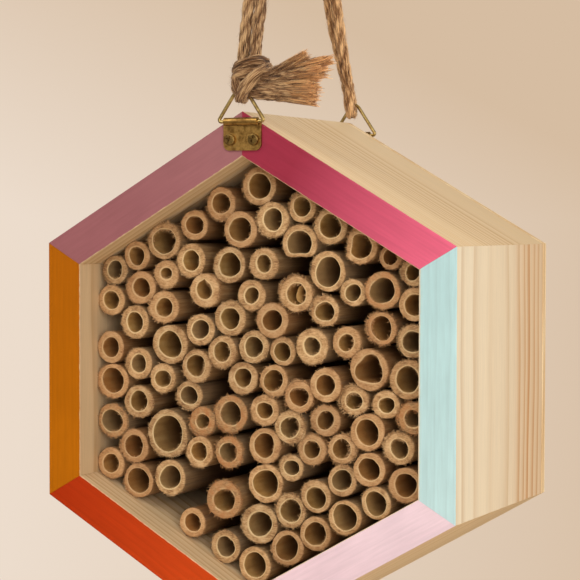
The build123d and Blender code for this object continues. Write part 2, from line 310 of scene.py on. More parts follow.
class Nodes:
    """A shader tree's nodes, made in short calls."""

    def __init__(self, tree):
        self.tree = tree
        tree.nodes.clear()

    def put(self, socket, value):
        if isinstance(value, bpy.types.NodeSocket):
            self.tree.links.new(value, socket)
        else:
            socket.default_value = value

    def make(self, kind, inputs=(), out=0, **props):
        node = self.tree.nodes.new(kind)
        for key, value in props.items():
            setattr(node, key, value)
        for key, value in dict(inputs).items():
            self.put(node.inputs[key], value)
        return node.outputs[out]

    def field(self, name, out="Vector"):
        return self.make("ShaderNodeAttribute", out=out, attribute_name=name)

    def place(self):
        return self.make("ShaderNodeTexCoord", out="Object")

    def math(self, op, a, b=0.0, c=0.0, clamp=False):
        return self.make("ShaderNodeMath", {0: a, 1: b, 2: c}, operation=op, use_clamp=clamp)

    def weigh(self, a, a_share, b, b_share):
        """The sum of two values, each times a number."""
        return self.math("MULTIPLY_ADD", a, a_share, self.math("MULTIPLY", b, b_share))

    def times(self, vector, factors):
        return self.make("ShaderNodeVectorMath", {0: vector, 1: factors}, operation="MULTIPLY")

    def plus(self, a, b):
        return self.make("ShaderNodeVectorMath", {0: a, 1: b}, operation="ADD")

    def parts(self, vector):
        node = self.tree.nodes.new("ShaderNodeSeparateXYZ")
        self.put(node.inputs[0], vector)
        return node.outputs

    def length(self, a, b):
        """Length of the hypotenuse over a and b."""
        squares = self.math("ADD", self.math("MULTIPLY", a, a), self.math("MULTIPLY", b, b))
        return self.math("SQRT", squares)

    def join(self, x, y, z):
        return self.make("ShaderNodeCombineXYZ", {0: x, 1: y, 2: z})

    def noise(self, vector, scales, detail, rough=0.55, distortion=0.0):
        return self.make("ShaderNodeTexNoise", {
            "Vector": self.times(vector, scales), "Scale": 1.0, "Detail": detail,
            "Roughness": rough, "Distortion": distortion})

    def ramp(self, value, stops):
        """Stops are places with a colour, or a number for grey."""
        node = self.tree.nodes.new("ShaderNodeValToRGB")
        marks = node.color_ramp.elements
        while len(marks) < len(stops):
            marks.new(0.5)
        for mark, (at, _) in zip(marks, stops):
            mark.position = at
        for mark, (_, colour) in zip(marks, stops):
            mark.color = colour if hasattr(colour, "__len__") else (colour, colour, colour, 1)
        self.put(node.inputs[0], value)
        return node.outputs[0]

    def span(self, value, low, high, to_low=0.0, to_high=1.0):
        """Value mapped from low..high to to_low..to_high, clamped."""
        return self.make("ShaderNodeMapRange", {
            "Value": value, "From Min": low, "From Max": high, "To Min": to_low, "To Max": to_high})

    def mix(self, share, a, b, blend="MIX"):
        node = self.tree.nodes.new("ShaderNodeMix")
        node.data_type = "RGBA"
        node.blend_type = blend
        self.put(node.inputs[0], share)
        self.put(node.inputs[6], a)
        self.put(node.inputs[7], b)
        return node.outputs[2]

    def tint(self, colour, towards, value, share):
        """Colour moved towards another by a value times share."""
        return self.mix(self.math("MULTIPLY", value, share), colour, towards)

    def gain(self, colour, value, *span):
        """Colour times a value, or times what span makes of it."""
        if span:
            value = self.span(value, *span)
        grey = self.make("ShaderNodeCombineColor", {0: value, 1: value, 2: value})
        return self.mix(1.0, colour, grey, "MULTIPLY")



class Shade(Nodes):
    """A material with one surface; keywords set the surface's other sockets."""

    def __init__(self, name, **sockets):
        self.material = bpy.data.materials.new(name)
        self.material.use_nodes = True
        super().__init__(self.material.node_tree)
        out = self.tree.nodes.new("ShaderNodeOutputMaterial")
        self.surface = self.tree.nodes.new("ShaderNodeBsdfPrincipled")
        self.tree.links.new(self.surface.outputs[0], out.inputs[0])
        for key, value in sockets.items():
            self.surface.inputs[key.replace("_", " ")].default_value = value

    def finish(self, colour, roughness, height, depth, strength):
        """Gives the surface its colour, roughness and bump, the bump's depth in mm."""
        self.put(self.surface.inputs["Base Color"], colour)
        self.put(self.surface.inputs["Roughness"], roughness)
        self.put(self.surface.inputs["Normal"], self.make("ShaderNodeBump", {
            "Height": height, "Distance": depth * MM, "Strength": strength}))
        return self.material


# ---- jute ----
JUTE = rgb(42, 24, 11), rgb(122, 82, 48), rgb(216, 176, 128)             # dark, middle, light
FRAYED_JUTE = rgb(104, 60, 30), rgb(182, 128, 76), rgb(236, 190, 132)


def jute(name, frayed=False):
    """Fibres, with painted shade in the grooves; fibre = along the rope and two ways across, deep =
    radius share.
    """
    s = Shade(name, Sheen_Weight=0.12, Sheen_Roughness=0.5, Specular_IOR_Level=0.25)
    fibre = s.field("fibre")
    deep = s.field("deep", "Fac")
    streak = s.noise(fibre, (170, 3000, 3000), 4.0, 0.62)
    fine = s.noise(fibre, (420, 7000, 7000), 3.0, 0.6)
    patch = s.noise(fibre, (45, 210, 210), 2.0)
    tone = s.weigh(streak, 0.52, fine, 0.48)
    tone = s.math("ADD", tone, s.math("MULTIPLY_ADD", patch, 0.34, -0.17))
    # painted shade: darker where the radius share is low, in the grooves between the plies
    tone = s.math("ADD", tone, s.math("MULTIPLY_ADD", deep, 0.42, -0.38))
    dark, middle, light = FRAYED_JUTE if frayed else JUTE
    colour = s.ramp(tone, [(0.35, dark), (0.485, middle), (0.61, light)])
    x, y, _ = s.parts(s.place())
    if frayed:                                       # paler towards the brush's tips
        colour = s.gain(colour, x, 14 * MM, 35 * MM, 0.62, 1.35)
    else:                                            # painted light: darker at the front, paler towards the rear ring
        colour = s.gain(colour, y, -46 * MM, 30 * MM, 0.88, 1.28)
    roughness = s.span(streak, 0.2, 0.8, 0.95, 0.72)
    return s.finish(colour, roughness, s.math("ADD", streak, fine), 0.16, 0.8)


jute_rope = jute("jute_rope")
jute_end = jute("jute_frayed", frayed=True)

# ---- the rope, one length from the knot, over the hook, round the rear ring and back ----
ROPE_D = 0.005
ROPE_LAY, KNOT_LAY, TAIL_LAY = 27 * MM, 32 * MM, 26 * MM
HALF_ROUTE_LEFT = [                              # control points in mm, from the knot to the rear ring
    (-1.2, -47.4, -128.0), (-3.8, -38.4, -99.0), (-2.9, -14.1, -25.9), (-2.55, -4.61, 2.5),
    (-2.55, 4.61, 2.5), (-3.4, 14.6, -25.8), (-5.6, 38.3, -93.0), (-2.5, 48.7, -121.9),
    (-1.3, 51.75, -130.4), (-1.0, 54.75, -138.95)]
HALF_ROUTE_RIGHT = [
    (3.8, -47.4, -126.0), (1.7, -38.4, -99.0), (2.34, -14.1, -25.9), (2.55, -4.61, 2.5),
    (2.55, 4.61, 2.5), (1.7, 13.9, -26.0), (-0.6, 35.4, -93.0), (0.6, 43.7, -121.9),
    (1.1, 46.15, -130.4), (0.6, 48.35, -138.95)]
ROPE_ROUTE = HALF_ROUTE_LEFT + HALF_ROUTE_RIGHT[::-1]

rope_line, rope_along = spaced(spline_points("rope_route", ROPE_ROUTE), 0.5 * MM)
rope_ring, rope_fibre, rope_share = rope_surface(
    rope_line, rope_along, ROPE_D / 2 * 0.95, ROPE_LAY, np.random.default_rng(5), sides=60)
tops = [i for i in range(1, len(rope_line) - 1)
        if rope_line[i][2] > -0.02 and (rope_line[i - 1][1] < 0) != (rope_line[i][1] < 0)]
first_top, last_top = tops[0], tops[-1]          # where each half passes over the hook


def rope_part(name, start, end, seed):
    """One stretch of the rope as a piece, and the line along its middle."""
    build = Build()
    piece = slice(start, end + 1)
    add_rings(build, rope_ring[piece], rope_fibre[piece], rope_share[piece])
    loose_fibres(build, rope_line[piece], rope_ring[piece], rope_fibre[piece], 11,
                 np.random.default_rng(seed))
    obj = build.mesh(name, [jute_rope])
    return obj, rope_line[start:end + 1:4]


front_left, left_path = rope_part("rope_front_left", 0, first_top, 11)
rope_rear, rear_path = rope_part("rope_rear", first_top, last_top, 12)
front_right, right_path = rope_part("rope_front_right", last_top, len(rope_line) - 1, 13)


# ---- knot: the rope's turns round the front ring, each on its own spline ----
KNOT_TURNS = {
    # name: control points and radius, in mm
    # through the ring: down the front from the upper right, under the wire, up the back
    "eye": ([(8.6, -45.5, -126.4), (10.8, -51.0, -127.2), (8.2, -56.0, -130.0),
             (4.8, -56.6, -134.4), (1.4, -54.8, -138.2), (0.4, -49.2, -138.2),
             (-0.6, -45.8, -133.0), (0.6, -45.4, -128.0)], 2.4),
    # collar round the two strands, lower left to upper right across the front
    "collar": ([(0.0, -44.0, -129.2), (-2.2, -46.0, -128.0), (-1.9, -52.0, -126.9),
                (3.2, -55.2, -125.2), (8.0, -53.0, -124.0), (8.8, -46.6, -124.4),
                (4.6, -43.0, -126.2), (-0.2, -43.2, -127.6)], 2.3),
    "collar_low": ([(8.2, -46.2, -127.0), (4.0, -43.0, -128.8), (-1.2, -43.8, -130.4),
                    (-2.6, -48.4, -130.2), (-0.9, -53.6, -129.6), (4.2, -55.0, -128.6),
                    (8.6, -52.0, -127.6)], 2.2),
    # left side, running down to the ring
    "flank": ([(2.6, -44.6, -127.0), (-0.9, -45.8, -129.0), (-1.5, -51.0, -131.8), (0.0, -54.0, -135.4),
               (1.8, -52.8, -137.4)], 2.4),
    "flank_front": ([(-0.8, -50.6, -128.4), (-0.4, -54.4, -131.4), (1.2, -55.2, -134.8),
                     (2.0, -53.4, -137.4)], 2.3),
    # heart of the knot, where the tails come out
    "heart": ([(0.0, -48.0, -126.0), (3.6, -50.2, -130.2), (6.4, -51.6, -132.8),
               (8.4, -52.2, -134.4)], 3.2),
    "core": ([(2.6, -48.0, -125.6), (2.2, -52.0, -128.4), (1.8, -53.0, -131.2),
              (2.6, -52.4, -134.0)], 2.5),
    "heart_up": ([(1.0, -46.6, -130.0), (6.0, -48.6, -129.6), (9.6, -51.0, -129.8)], 3.1),
}
knot_build = Build()
for number, (turn_name, (route, radius)) in enumerate(KNOT_TURNS.items()):
    line, along = spaced(spline_points(turn_name, route), 0.35 * MM)
    rand = np.random.default_rng(60 + number)
    ring, fibre, deep = rope_surface(line, along, radius * MM * 0.97, KNOT_LAY, rand, sides=54,
                                     turn=number, rough=0.062, start=number * 0.2)
    add_rings(knot_build, ring, fibre, deep)
    loose_fibres(knot_build, line, ring, fibre, 6.0, rand,
                 reach=1.1, length=(1.5, 5.0), radius=0.035)
knot = knot_build.mesh("knot", [jute_rope])
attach(knot, "front_hanger")
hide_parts("rope_knot")

# ---- tails: the rope's two ends, untwisted and frayed ----
BRUSH_FIBRES = 420                               # yarn ends on each ply
TAILS = {
    # for each of the three plies: control points, radius and the brush's radius, in mm
    "tail_upper": [
        ([(6.0, -50.6, -130.4), (13.0, -52.6, -129.6), (20.4, -53.8, -127.2), (25.8, -54.2, -124.9),
          (29.4, -54.2, -122.6)], 2.1, 2.7),
        ([(6.0, -49.8, -131.2), (14.0, -52.0, -130.4), (24.0, -53.4, -128.0), (32.0, -54.2, -125.8),
          (39.8, -54.8, -124.9)], 2.15, 2.5),
        ([(6.0, -51.6, -132.0), (15.0, -53.6, -131.6), (25.0, -54.8, -130.2), (32.0, -55.6, -129.2),
          (38.2, -56.0, -129.4)], 2.2, 3.4),
    ],
    "tail_lower": [
        ([(4.4, -51.6, -133.6), (12.0, -53.8, -134.0), (20.0, -55.2, -134.0), (28.0, -55.8, -133.9),
          (35.0, -56.0, -133.9)], 2.1, 2.9),
        ([(4.0, -52.0, -135.2), (12.0, -54.4, -135.9), (20.0, -55.8, -136.4), (28.0, -56.4, -136.9),
          (35.2, -56.6, -137.3)], 2.1, 2.9),
        ([(4.0, -51.2, -136.4), (12.0, -53.6, -137.5), (20.0, -54.8, -138.4), (27.4, -55.6, -139.2),
          (34.2, -56.0, -140.4)], 1.9, 2.5),
    ],
}


def frayed_ply(build, route, base, spread, number, index):
    """One ply that thins out towards its end, and the brush of yarns that leaves it."""
    rand = np.random.default_rng(80 + 10 * number + index)
    line, along = spaced(spline_points("ply", route), 0.4 * MM)
    tangent, n, b = carried_frames(line)
    share = along / along[-1]
    core = base * MM * (1 - 0.18 * share - 0.62 * np.clip((share - 0.78) / 0.22, 0, 1) ** 1.5)
    ring, fibre, deep = rope_surface(line, along, core, TAIL_LAY, rand, sides=40,
                                     turn=2.1 * index, rough=0.07, start=number + 0.3 * index)
    add_rings(build, ring, fibre, deep * 0.95)
    loose_fibres(build, line, ring, fibre, 7.0, rand, reach=1.2, length=(2.5, 7.0), radius=0.045)
    begin = rand.uniform(0.45, 0.80, BRUSH_FIBRES)
    at = (begin * (len(line) - 1)).astype(int)
    angle = rand.uniform(0, TAU, BRUSH_FIBRES)
    off = np.sqrt(rand.uniform(0.05, 1, BRUSH_FIBRES))
    side = np.cos(angle)[:, None] * n[at] + np.sin(angle)[:, None] * b[at]
    start = line[at] + side * (off * core[at] * 0.93)[:, None]
    past = rand.normal(-1.6, 1.3, BRUSH_FIBRES) + 1.3 * np.sin(3 * angle + index)
    tip = line[-1] + side * (off * spread * MM * 0.78)[:, None] + tangent[-1] * past[:, None] * MM
    reach = tip - start
    size = np.linalg.norm(reach, axis=1)
    curl = rand.normal(0, 0.07, (BRUSH_FIBRES, 3)) \
        + side * rand.uniform(-0.02, 0.10, BRUSH_FIBRES)[:, None]
    inside = np.stack([begin, off * np.cos(angle) * 0.003, off * np.sin(angle) * 0.003], 1)
    add_hairs(build, start, reach / size[:, None] - curl, curl, size,
              rand.uniform(0.07, 0.17, BRUSH_FIBRES) * MM, slot=1, taper=0.55, steps=7,
              fibre=inside, deep=rand.uniform(0.75, 1.1, BRUSH_FIBRES))


for number, (tail_name, plies) in enumerate(TAILS.items()):
    build = Build()
    for index, (route, base, spread) in enumerate(plies):
        frayed_ply(build, route, base, spread, number, index)
    tail = build.mesh(tail_name, [jute_rope, jute_end])
    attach(tail, "front_hanger")
    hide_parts("rope_" + tail_name)


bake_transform(front_left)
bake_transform(front_right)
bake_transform(rope_rear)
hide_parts("rope_strand_left")
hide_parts("rope_strand_right")
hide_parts("rope_bight")

# ---- boards ----
WIDTH, BOARD, BOARD_DEPTH, PANEL = 0.178, 0.015, 0.096, 0.004
CENTRE_Z = FRONT.z
CORNER = WIDTH / math.sqrt(3)
INNER = (WIDTH / 2 - BOARD) * 2 / math.sqrt(3)
FRONT_Y = FRONT.y
PANEL_Y = FRONT_Y + BOARD_DEPTH

BOARDS = {
    # name: place clockwise from the upper right, paint at its two ends (further round, less far
    # round) with painted light in the change between them (a painted sheen on the raspberry board,
    # light falling off from the right on the orange one), how the rings lie (pith across, pith under
    # in metres, spacing in mm), material slot
    "upper_right": (0, (236, 108, 140), (153, 48, 69), (0.085, -0.045, 2.4), "pine_raspberry_edge"),
    "right": (1, (190, 222, 226), (182, 216, 220), (0.036, -0.050, 3.4), "pine_aqua_edge"),
    "lower_right": (2, (230, 200, 212), (233, 208, 220), (0.060, -0.080, 3.0), "pine_pink_edge"),
    "lower_left": (3, (176, 48, 6), (202, 70, 20), (0.070, -0.070, 2.8), "pine_orange_edge"),
    "left": (4, (174, 96, 0), (184, 104, 0), (0.020, -0.060, 3.2), "pine_ochre_edge"),
    "upper_left": (5, (160, 106, 110), (154, 97, 102), (0.045, -0.065, 2.9), "pine_mauve_edge"),
}


def hexagon_corner(k, radius):
    a = math.radians(90 - 60 * k)
    return radius * math.cos(a), radius * math.sin(a) + CENTRE_Z


def is_mitre(a, b):
    """True for an edge along a mitre, from an outer corner to an inner one, or along Y."""
    radii = [math.hypot(p.x, p.z - CENTRE_Z) for p in (a, b)]
    return abs(radii[0] - radii[1]) > 0.005 or (a - b).length < 1e-6


def prism(corners, y0, y1, long_bevel, end_bevel):
    """Mesh of a prism over an outline in X and Z, its edges weighted for the bevel."""
    shape = bmesh.new()
    front = [shape.verts.new((x, y0, z)) for x, z in corners]
    back = [shape.verts.new((x, y1, z)) for x, z in corners]
    count = len(corners)
    shape.faces.new(front)
    shape.faces.new(back[::-1])
    for i in range(count):
        j = (i + 1) % count
        shape.faces.new((front[j], front[i], back[i], back[j]))
    bmesh.ops.recalc_face_normals(shape, faces=shape.faces)
    weight = shape.edges.layers.float.new("bevel_weight_edge")
    for edge in shape.edges:
        a, b = (Vector((v.co.x, 0, v.co.z)) for v in edge.verts)
        edge[weight] = (end_bevel if is_mitre(a, b) else long_bevel) / long_bevel
    data = bpy.data.meshes.new("prism")
    shape.to_mesh(data)
    shape.free()
    return data


def ease(obj, width, segments=3):
    """Applies a weighted bevel to the object's mesh."""
    modifier = obj.modifiers.new("ease", "BEVEL")
    modifier.limit_method = "WEIGHT"
    modifier.width = width
    modifier.segments = segments
    modifier.profile = 0.6
    bpy.context.view_layer.update()
    eased = obj.evaluated_get(bpy.context.evaluated_depsgraph_get())
    done = bpy.data.meshes.new_from_object(eased)
    obj.modifiers.clear()
    obj.data = done


def pine(name, paint_with_light, pith_v, pith_w, spacing, seed, bare_edge, pale, dark_back):
    """Planed pine whose front edge is painted, but for the last bare_edge mm towards the inside.
    grain = along the board, back from the front, out from the inside."""
    s = Shade(name, Specular_IOR_Level=0.12)
    grain = s.field("grain")
    u, v, w = s.parts(grain)
    shifted = s.plus(grain, (seed * 0.37, seed * 0.11, seed * 0.23))
    bend = s.noise(shifted, (7, 22, 22), 2.0)
    bend = s.math("MULTIPLY_ADD", bend, 9 * MM, -4.5 * MM)
    ripple = s.noise(shifted, (26, 120, 120), 2.0)
    ripple = s.math("MULTIPLY_ADD", ripple, 1.2 * MM, -0.6 * MM)
    across = s.math("ADD", s.math("SUBTRACT", v, pith_v), s.math("ADD", bend, ripple))
    under = s.math("SUBTRACT", w, pith_w)
    ring = s.length(across, under)
    spread = s.noise(s.join(0.0, ring, 0.0), (1, 160, 1), 1.0)
    spread = s.math("MULTIPLY", spread, 1.8)
    phase = s.math("FRACT", s.math("MULTIPLY_ADD", ring, 1 / (spacing * MM), spread))
    late = s.ramp(phase, [(0.0, 0.12), (0.10, 0.0), (0.55, 0.22), (0.86, 0.8), (0.95, 1.0),
                          (1.0, 0.12)])
    vary = s.span(s.noise(shifted, (3, 55, 55), 2.0), 0.32, 0.68, 0.25, 1.0)
    late = s.math("MULTIPLY", late, vary)
    streak = s.noise(shifted, (38, 1500, 1500), 3.0, 0.65)
    hair = s.noise(shifted, (120, 6000, 6000), 2.0, 0.6)
    paleness = s.span(v, 5 * MM, 80 * MM, pale + 0.40 * dark_back, pale - 0.25 * dark_back)
    early = s.mix(paleness, rgb(224, 190, 140), rgb(226, 207, 178))
    back = s.span(v, 56 * MM, 72 * MM, 0.0, dark_back)
    late = s.math("MULTIPLY", late, s.math("ADD", 1.0, back), clamp=True)
    wood = s.mix(late, early, s.mix(back, rgb(186, 142, 90), rgb(190, 126, 68)))
    warm = s.span(s.noise(shifted, (4, 30, 30), 2.0), 0.3, 0.7)
    wood = s.tint(wood, rgb(232, 210, 176), warm, 0.25)
    wood = s.tint(wood, rgb(206, 150, 96), back, 0.35)
    wood = s.mix(s.span(v, 4 * MM, 40 * MM, 0.75 * dark_back, 0.0), wood, rgb(226, 218, 196))
    wood = s.gain(wood, v, 10 * MM, 90 * MM, 1.02, 0.90)
    wood = s.gain(wood, streak, 0.25, 0.75, 0.90, 1.05)
    wood = s.gain(wood, hair, 0.2, 0.8, 0.955, 1.03)
    edge = s.noise(shifted, (420, 900, 900), 3.0)
    painted = s.math("MULTIPLY_ADD", edge, 0.5 * MM, s.math("MULTIPLY", v, -1.0))
    painted = s.span(painted, -0.28 * MM, -0.16 * MM)
    bare = s.math("MULTIPLY_ADD", edge, -0.6 * MM, w)
    bare = s.span(bare, bare_edge * MM - 0.35 * MM, bare_edge * MM)
    painted = s.math("MULTIPLY", painted, bare)
    brushed = s.noise(shifted, (60, 900, 900), 3.0)
    blotch = s.noise(shifted, (40, 60, 60), 3.0)
    # painted light: the coat runs from one end's colour to the other's along the board, a painted sheen
    # and falloff of light over the paint's own colour
    coat_with_light = s.mix(s.span(u, -55 * MM, 22 * MM), *paint_with_light)
    coat_with_light = s.gain(coat_with_light, brushed, 0.25, 0.75, 0.93, 1.06)
    coat_with_light = s.gain(coat_with_light, blotch, 0.3, 0.7, 0.95, 1.04)
    coat_with_light = s.gain(coat_with_light, late, 0.0, 1.0, 1.02, 0.93)
    colour = s.mix(painted, wood, coat_with_light)
    rough = s.mix(painted, s.span(streak, 0.3, 0.7, 0.52, 0.70), s.span(blotch, 0.3, 0.7, 0.40, 0.52))
    height = s.weigh(late, -0.25, hair, 0.5)
    height = s.math("ADD", s.math("MULTIPLY", streak, 0.6), height)
    return s.finish(colour, rough, height, 0.06, 0.7)


for board, (k, near_paint_with_light, far_paint_with_light, (pith_v, pith_w, spacing), slot_name) in BOARDS.items():
    corners = [hexagon_corner(k, CORNER), hexagon_corner(k + 1, CORNER),
               hexagon_corner(k + 1, INNER), hexagon_corner(k, INNER)]
    obj = link("pine_" + board, prism(corners, FRONT_Y, PANEL_Y, 0.5 * MM, 0.16 * MM))
    ease(obj, 0.5 * MM)
    out = math.radians(60 - 60 * k)
    normal = np.array([math.cos(out), 0, math.sin(out)])
    length_way = np.array([-math.sin(out), 0, math.cos(out)])
    co = np.empty(len(obj.data.vertices) * 3)
    obj.data.vertices.foreach_get("co", co)
    co = co.reshape(-1, 3) - np.array([0, FRONT_Y, CENTRE_Z])
    grain = np.stack([co @ length_way, co[:, 1], co @ normal - (WIDTH / 2 - BOARD)], 1)
    add_field(obj.data, "grain", grain)
    bare, pale, dark_back = (0.55, 1.0, 0.6) if board == "right" else (0.12, 0.35, 0.0)
    paint_with_light = rgb(*near_paint_with_light), rgb(*far_paint_with_light)
    obj.data.materials.clear()
    obj.data.materials.append(pine(
        "pine_" + board, paint_with_light, pith_v, pith_w, spacing, k + 1, bare, pale, dark_back))
    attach(obj, "hotel")
    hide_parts("board_" + board)


def plywood():
    """Thin three-layer board: broad pale face, and an edge that shows its layers."""
    s = Shade("plywood")
    place = s.place()
    _, y, _ = s.parts(place)
    layer = s.math("MULTIPLY", s.math("SUBTRACT", y, PANEL_Y), 3 / PANEL)
    middle = s.math("COMPARE", layer, 1.5, 0.5)
    swirl = s.noise(place, (26, 26, 3.6), 2.0, 0.45, 0.3)
    bands = s.math("PINGPONG", s.math("MULTIPLY", swirl, 17.0), 1.0)
    pores = s.noise(place, (1500, 1500, 42), 4.0, 0.62)
    face = s.weigh(bands, 0.34, pores, 0.66)
    ends = s.noise(place, (900, 900, 900), 3.0)
    colour = s.ramp(face, [(0.28, rgb(206, 168, 118)), (0.5, rgb(224, 192, 145)),
                           (0.72, rgb(236, 212, 170))])
    colour = s.tint(colour, rgb(178, 138, 92), middle, 0.45)
    colour = s.gain(colour, ends, 0.3, 0.7, 0.94, 1.04)
    return s.finish(colour, s.span(face, 0.3, 0.7, 0.58, 0.7), face, 0.05, 0.6)


hexagon = [hexagon_corner(k, CORNER) for k in range(6)]
panel = link("ply_panel", prism(hexagon, PANEL_Y, PANEL_Y + PANEL, 0.3 * MM, 0.3 * MM))
ease(panel, 0.3 * MM, 2)
panel.data.materials.clear()
panel.data.materials.append(plywood())
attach(panel, "hotel")
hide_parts("back_panel")


# ---- bamboo ----
# Fields: cut = place on the tube, tone and hue = one number a tube, edge = 0 at the bore to 1 at
# the skin, burnt = how brown the saw left it.
def bamboo_skin():
    s = Shade("bamboo_skin")
    cut = s.field("cut")
    tone = s.field("tone", "Fac")
    streak = s.noise(cut, (1500, 42, 1500), 4.0, 0.62)
    fine = s.noise(cut, (5200, 130, 5200), 3.0, 0.6)
    patch = s.noise(cut, (120, 60, 120), 3.0, 0.6)
    value = s.weigh(streak, 0.55, fine, 0.25)
    value = s.math("ADD", value, s.math("MULTIPLY", patch, 0.2))
    colour = s.ramp(value, [(0.34, rgb(112, 80, 50)), (0.48, rgb(166, 128, 84)),
                            (0.62, rgb(204, 170, 122))])
    grey = s.span(s.noise(cut, (420, 24, 420), 2.0), 0.5, 0.72)
    colour = s.tint(colour, rgb(142, 126, 106), grey, 0.55)
    colour = s.gain(colour, tone, 0.0, 1.0, 0.78, 1.12)
    hue = s.field("hue", "Fac")
    colour = s.tint(colour, rgb(176, 116, 66), s.span(hue, 0.5, 1.0), 0.45)
    colour = s.tint(colour, rgb(156, 138, 112), s.span(hue, 0.5, 0.0), 0.40)
    _, y, _ = s.parts(s.place())
    # painted shade: the skin darkens further back, between the tubes
    colour = s.mix(s.span(y, -44 * MM, -14 * MM, 0.04, 0.86), colour, rgb(74, 38, 12))
    roughness = s.span(patch, 0.3, 0.7, 0.36, 0.58)
    return s.finish(colour, roughness, s.math("ADD", streak, fine), 0.08, 0.7)


def bamboo_rim():
    s = Shade("bamboo_rim")
    cut = s.field("cut")
    tone = s.field("tone", "Fac")
    edge = s.field("edge", "Fac")
    bundles = s.make("ShaderNodeTexVoronoi", {
        "Vector": s.times(cut, (2600, 700, 2600)), "Scale": 1.0})
    specks = s.span(bundles, 0.10, 0.38, 0.80, 1.0)
    saw = s.noise(cut, (700, 700, 2600), 4.0, 0.65)
    patch = s.noise(cut, (260, 260, 260), 3.0, 0.6)
    colour = s.ramp(s.weigh(saw, 0.5, patch, 0.5),
                    [(0.38, rgb(138, 98, 60)), (0.5, rgb(190, 150, 102)), (0.62, rgb(218, 184, 138))])
    pale = s.span(s.math("MULTIPLY_ADD", saw, 0.22, edge), 0.24, 0.36, 1.0, 0.0)
    colour = s.tint(colour, rgb(230, 202, 152), pale, 0.85)
    burnt = s.math("MULTIPLY", s.field("burnt", "Fac"), s.span(patch, 0.36, 0.62))
    colour = s.mix(burnt, colour, rgb(176, 112, 58))
    colour = s.gain(colour, specks)
    colour = s.gain(colour, edge, 0.80, 1.0, 1.0, 0.74)
    hue = s.span(s.field("hue", "Fac"), 0.45, 1.0)
    colour = s.tint(colour, rgb(192, 138, 90), hue, 0.45)
    colour = s.gain(colour, tone, 0.0, 1.0, 0.80, 1.05)
    height = s.math("SUBTRACT", saw, s.math("MULTIPLY", specks, -0.4))
    return s.finish(colour, s.span(saw, 0.3, 0.7, 0.85, 0.65), height, 0.14, 0.9)


def bamboo_bore():
    s = Shade("bamboo_bore")
    cut = s.field("cut")
    tone = s.field("tone", "Fac")
    streak = s.noise(cut, (420, 40, 420), 3.0, 0.5)
    film = s.noise(cut, (260, 160, 260), 3.0, 0.6)
    colour = s.ramp(s.weigh(streak, 0.55, film, 0.45),
                    [(0.32, rgb(158, 116, 58)), (0.5, rgb(188, 148, 84)), (0.68, rgb(208, 172, 108))])
    hue = s.field("hue", "Fac")
    colour = s.tint(colour, rgb(172, 102, 44), s.span(hue, 0.55, 1.0), 0.60)
    colour = s.tint(colour, rgb(168, 146, 112), s.span(hue, 0.45, 0.0), 0.50)
    colour = s.gain(colour, tone, 0.0, 1.0, 0.66, 1.14)
    _, y, _ = s.parts(s.place())
    # painted shade: the bore darkens deeper in
    colour = s.mix(s.span(y, -42 * MM, -18 * MM, 0.0, 0.70), colour, rgb(104, 58, 20))
    return s.finish(colour, 0.7, s.math("ADD", streak, film), 0.12, 0.8)


BAMBOO = [bamboo_skin(), bamboo_rim(), bamboo_bore()]
# Tubes that differ from the rest, by their place from the middle of the front, in mm. Angles are
# in degrees from the right, upwards: dent = angle, depth and width; notch and egg = angle, depth;
# triangle = depth; film = from angle to angle; fuzz = share of burrs, fuzz_at = where they are.
ODD_TUBES = {
    (18.2, 52.0): dict(dent=(-90, 0.30, 0.95)), (-22.5, 32.8): dict(notch=(90, 0.20), fuzz=0.5),
    (17.0, 32.2): dict(film=(78, 282), fuzz=1.0, fuzz_at=135),
    (44.8, 51.0): dict(dent=(170, 0.20, 0.8), fuzz=0.6), (26.2, -46.2): dict(egg=(-60, 0.14)),
    (48.2, 3.8): dict(triangle=0.10), (15.5, -52.5): dict(egg=(0, 0.12)),
    (-42.5, 52.5): dict(fuzz=0.9, fuzz_at=90), (53.4, 19.8): dict(fuzz=1.0, fuzz_at=180, burnt=0.6),
    (66.5, -13.9): dict(fuzz=0.9, fuzz_at=180, burnt=0.9), (40.8, -8.2): dict(fuzz=1.0),
    (14.4, -19.8): dict(fuzz=0.9, fuzz_at=0), (37.0, -27.1): dict(fuzz=0.9),
    (-12.6, -31.3): dict(fuzz=0.8, fuzz_at=0, burnt=0.8),
    (-13.8, -50.0): dict(fuzz=0.6, fuzz_at=45, burnt=0.8), (61.3, -25.6): dict(fuzz=0.8, fuzz_at=135),
    (-12.0, -16.0): dict(fuzz=0.7, fuzz_at=225, burnt=0.8), (18.6, -7.7): dict(fuzz=0.8, fuzz_at=90),
    (-25.2, -18.8): dict(burnt=0.9), (-66.7, -21.2): dict(burnt=0.6), (54.0, 34.2): dict(burnt=0.7),
    (-66.0, 40.5): dict(dark=True), (29.2, -16.8): dict(dark=True),
}
SKIN, RIM, BORE = 0, 1, 2                        # material slots
SIDES = 64
THETA = np.arange(SIDES) / SIDES * TAU
# Rings of the skin and the bore, as shares of the tube's length from the front, and of the rim,
# as shares of the way from bore to skin and mm behind the saw cut.
SKIN_RINGS = (1.0, 0.62, 0.38, 0.22, 0.12, 0.055, 0.02, 0.0)
BORE_RINGS = (0.012, 0.03, 0.06, 0.11, 0.18, 0.28, 0.42, 0.62, 0.82, 1.0)
RIM_RINGS = ((0.985, 0.16), (0.95, 0.05), (0.82, 0.03), (0.60, 0.0), (0.38, 0.02), (0.18, 0.04),
             (0.05, 0.10), (0.0, 0.30))


